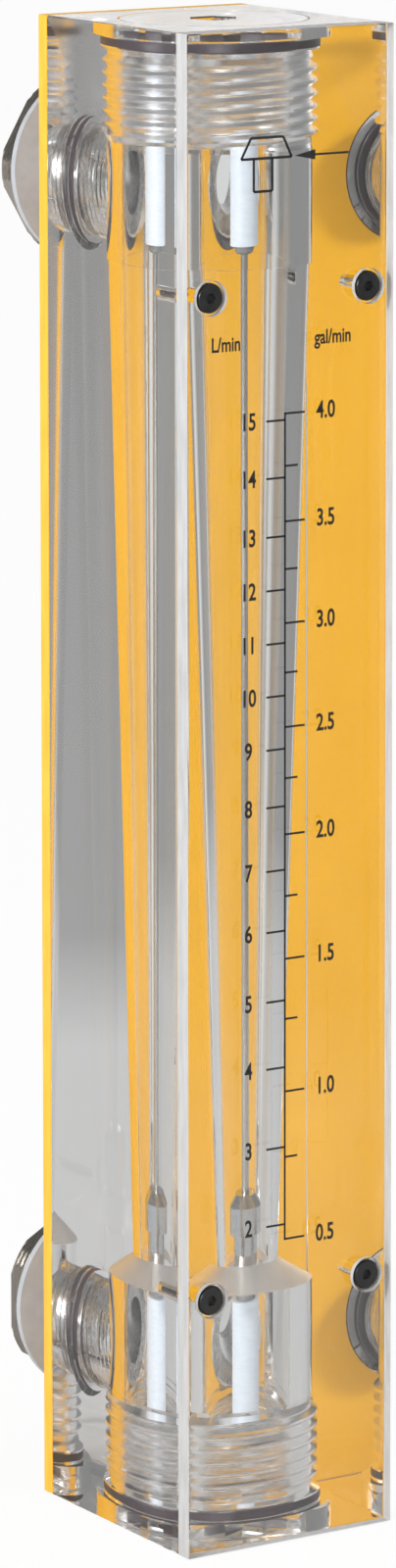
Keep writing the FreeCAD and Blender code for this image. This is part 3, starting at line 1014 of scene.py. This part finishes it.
studio = {
    "room": 0.20,                    # what glass and metal see in front
    "sides": 0.40,
    "backdrop": 1.0,                 # and low down behind
    "fill": 0.88,
    "lampTurn": -57,
    "lampRise": 18,
    "lampAway": 1.15,
    "lampSize": 0.19,
    "lampPower": 9,
    "tableTone": 0.52,               # the table round the meter, as glass and metal see it
    "floorTone": 0.30,               # beyond the table's edge
    "tableEdge": (0.34, 0.44),       # metres from the middle
    "tableDrop": 0.0002,             # below the meter
    "tableCorners": ((-3, -3), (3, -3), (3, 4), (-3, 4)),
    "white": 0.82,
    "glow": 0.9,                     # how much of the floor's white is the backdrop's
    "behind": (0.72, 0.9),           # where the view turns from the room to the backdrop
    "dark": (0.12, 0.32),            # and upwards into the dark of the room
}


def makeTable():
    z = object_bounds()[0].z - studio["tableDrop"]
    mesh = bmesh.new()
    mesh.faces.new([mesh.verts.new((x, y, z)) for x, y in studio["tableCorners"]])
    data = bpy.data.meshes.new("table")
    mesh.to_mesh(data)
    mesh.free()
    table = bpy.data.objects.new("table", data)
    scene.collection.objects.link(table)
    material, nodes, links, shader = newMaterial("table_white")
    shader.inputs["Base Color"].default_value = (*grey(studio["white"]), 1)
    shader.inputs["Roughness"].default_value = 0.9
    shader.inputs["Specular IOR Level"].default_value = 0.1
    glow = addNode(nodes, "ShaderNodeEmission", Color=(1, 1, 1, 1), Strength=1.0)
    seen = addNode(nodes, "ShaderNodeMixShader", Fac=studio["glow"])
    links.new(shader.outputs["BSDF"], seen.inputs[1])
    links.new(glow.outputs["Emission"], seen.inputs[2])
    # glass and metal see a grey table with a darker room beyond its edge, and the white backdrop behind
    place = nodes.new("ShaderNodeTexCoord")
    split = nodes.new("ShaderNodeSeparateXYZ")
    away = addNode(nodes, "ShaderNodeVectorMath", operation="LENGTH")
    links.new(place.outputs["Object"], split.inputs["Vector"])
    links.new(place.outputs["Object"], away.inputs[0])
    behind = addNode(nodes, "ShaderNodeMath", operation="DIVIDE")
    links.new(split.outputs["Y"], behind.inputs[0])
    links.new(away.outputs["Value"], behind.inputs[1])
    start, end = studio["tableEdge"]
    near = ramp(nodes, links, away.outputs["Value"],
                [(start, grey(studio["tableTone"])), (end, grey(studio["floorTone"]))])
    start, end = studio["behind"]
    back = ramp(nodes, links, behind.outputs["Value"], [(start, grey(0)), (end, grey(1))])
    tone = addNode(nodes, "ShaderNodeMix", data_type="RGBA")
    links.new(back.outputs["Color"], tone.inputs["Factor"])
    links.new(near.outputs["Color"], tone.inputs["A"])
    tone.inputs["B"].default_value = (*grey(studio["white"]), 1)
    toned = addNode(nodes, "ShaderNodeBsdfDiffuse")
    links.new(tone.outputs["Result"], toned.inputs["Color"])
    path = nodes.new("ShaderNodeLightPath")
    mirrored = addNode(nodes, "ShaderNodeMath", operation="MAXIMUM")
    links.new(path.outputs["Is Glossy Ray"], mirrored.inputs[0])
    links.new(path.outputs["Is Transmission Ray"], mirrored.inputs[1])
    inner = nodes.new("ShaderNodeMixShader")
    links.new(mirrored.outputs[0], inner.inputs["Fac"])
    links.new(shader.outputs["BSDF"], inner.inputs[1])
    links.new(toned.outputs["BSDF"], inner.inputs[2])
    mix = nodes.new("ShaderNodeMixShader")
    links.new(path.outputs["Is Camera Ray"], mix.inputs["Fac"])
    links.new(inner.outputs["Shader"], mix.inputs[1])
    links.new(seen.outputs["Shader"], mix.inputs[2])
    links.new(mix.outputs["Shader"], nodes["Material Output"].inputs["Surface"])
    data.materials.append(material)


def makeWorld():
    world = bpy.data.worlds.new("studio")
    scene.world = world
    world.use_nodes = True
    nodes, links = world.node_tree.nodes, world.node_tree.links
    nodes.clear()
    out = nodes.new("ShaderNodeOutputWorld")
    place = nodes.new("ShaderNodeTexCoord")
    split = nodes.new("ShaderNodeSeparateXYZ")
    links.new(place.outputs["Generated"], split.inputs["Vector"])
    room = ramp(nodes, links, split.outputs["Y"],
                [(0.0, grey(studio["room"])), (0.5, grey(studio["sides"])), (0.8, grey(studio["backdrop"]))])
    start, end = studio["dark"]
    above = ramp(nodes, links, split.outputs["Z"], [(start, grey(0)), (end, grey(1))])
    tone = addNode(nodes, "ShaderNodeMix", data_type="RGBA")
    links.new(above.outputs["Color"], tone.inputs["Factor"])
    links.new(room.outputs["Color"], tone.inputs["A"])
    tone.inputs["B"].default_value = (*grey(studio["room"]), 1)
    seen = nodes.new("ShaderNodeBackground")
    links.new(tone.outputs["Result"], seen.inputs["Color"])
    fill = addNode(nodes, "ShaderNodeBackground", Color=(1, 1, 1, 1), Strength=studio["fill"])
    white = addNode(nodes, "ShaderNodeBackground", Color=(1, 1, 1, 1), Strength=1.0)
    path = nodes.new("ShaderNodeLightPath")
    inner = nodes.new("ShaderNodeMixShader")
    either = addNode(nodes, "ShaderNodeMath", operation="MAXIMUM")
    links.new(path.outputs["Is Glossy Ray"], either.inputs[0])
    links.new(path.outputs["Is Transmission Ray"], either.inputs[1])
    links.new(either.outputs[0], inner.inputs["Fac"])
    links.new(fill.outputs[0], inner.inputs[1])
    links.new(seen.outputs[0], inner.inputs[2])
    outer = nodes.new("ShaderNodeMixShader")
    links.new(path.outputs["Is Camera Ray"], outer.inputs["Fac"])
    links.new(inner.outputs[0], outer.inputs[1])
    links.new(white.outputs[0], outer.inputs[2])
    links.new(outer.outputs[0], out.inputs["Surface"])


def addLamp():
    data = bpy.data.lights.new("key", "AREA")
    data.shape = "DISK"
    data.size = studio["lampSize"]
    data.energy = studio["lampPower"]
    lamp = bpy.data.objects.new("key", data)
    scene.collection.objects.link(lamp)
    turn, rise = math.radians(studio["lampTurn"]), math.radians(studio["lampRise"])
    toward = Vector((math.sin(turn) * math.cos(rise), -math.cos(turn) * math.cos(rise), math.sin(rise)))
    lamp.location = toward * studio["lampAway"]
    lamp.rotation_euler = toward.to_track_quat("Z", "Y").to_euler()


makeTable()
makeWorld()
addLamp()
# the view passes through many faces of clear acrylic
scene.cycles.max_bounces = 32
scene.cycles.transmission_bounces = 32
scene.cycles.glossy_bounces = 16
scene.cycles.transparent_max_bounces = 32
print("studio made")
